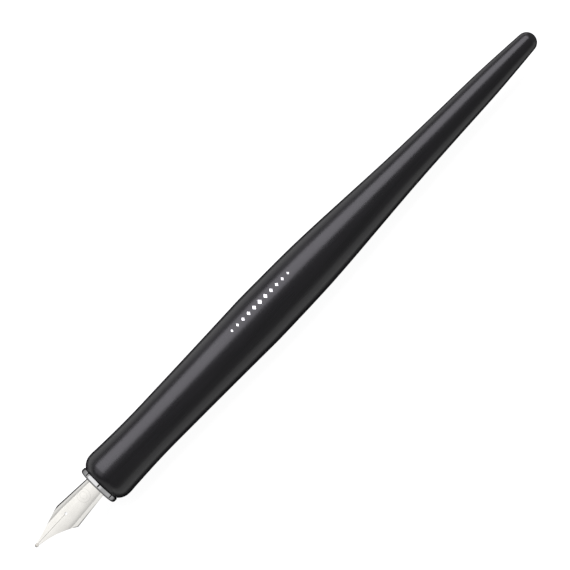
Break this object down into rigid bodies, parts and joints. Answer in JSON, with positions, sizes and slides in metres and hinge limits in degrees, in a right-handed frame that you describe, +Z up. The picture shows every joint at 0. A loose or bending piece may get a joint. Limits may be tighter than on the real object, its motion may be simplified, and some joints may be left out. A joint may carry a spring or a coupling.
{
  "type": "dip pen",
  "caption": "Black lacquered wooden dip pen with a swelling grip, long thin tail, bright front ring and a pull-out steel nib with a breather hole on a clear ink feed.",
  "frame": {"origin": "under the middle of the pen's length, on the plane that the widest part of the holder rests on, with the pen's axis level", "axes": "+X along the pen from the writing point to the tail, +Z up with the nib's top face up, +Y to the left of a writer who looks along +X"},
  "size_m": [0.163, 0.013, 0.013],
  "materials": {
    "lacquered_wood": "fine-grained wood under black satin-gloss lacquer",
    "bright_trim": "bright plated trim",
    "dark_plastic": "moulded, fine matte",
    "clear_plastic": "clear, colourless, moulded",
    "polished_steel": "polished stainless sheet",
    "hard_alloy": "ground hard-alloy pellet"
  },
  "bodies": {
    "holder": {"holder": "lacquered_wood", "front_ring": "bright_trim", "nib_socket": "dark_plastic"},
    "feed": {"feed": "clear_plastic"},
    "nib": {"nib": "polished_steel", "tipping_left": "hard_alloy", "tipping_right": "hard_alloy"}
  },
  "joints": [
    {"name": "feed_pull", "type": "slide", "parent": "holder", "child": "feed", "axis": [-1, 0, 0], "range_m": [0, 0.0132]},
    {"name": "nib_pull", "type": "slide", "parent": "feed", "child": "nib", "axis": [-1, 0, 0], "range_m": [0, 0.01]}
  ]
}
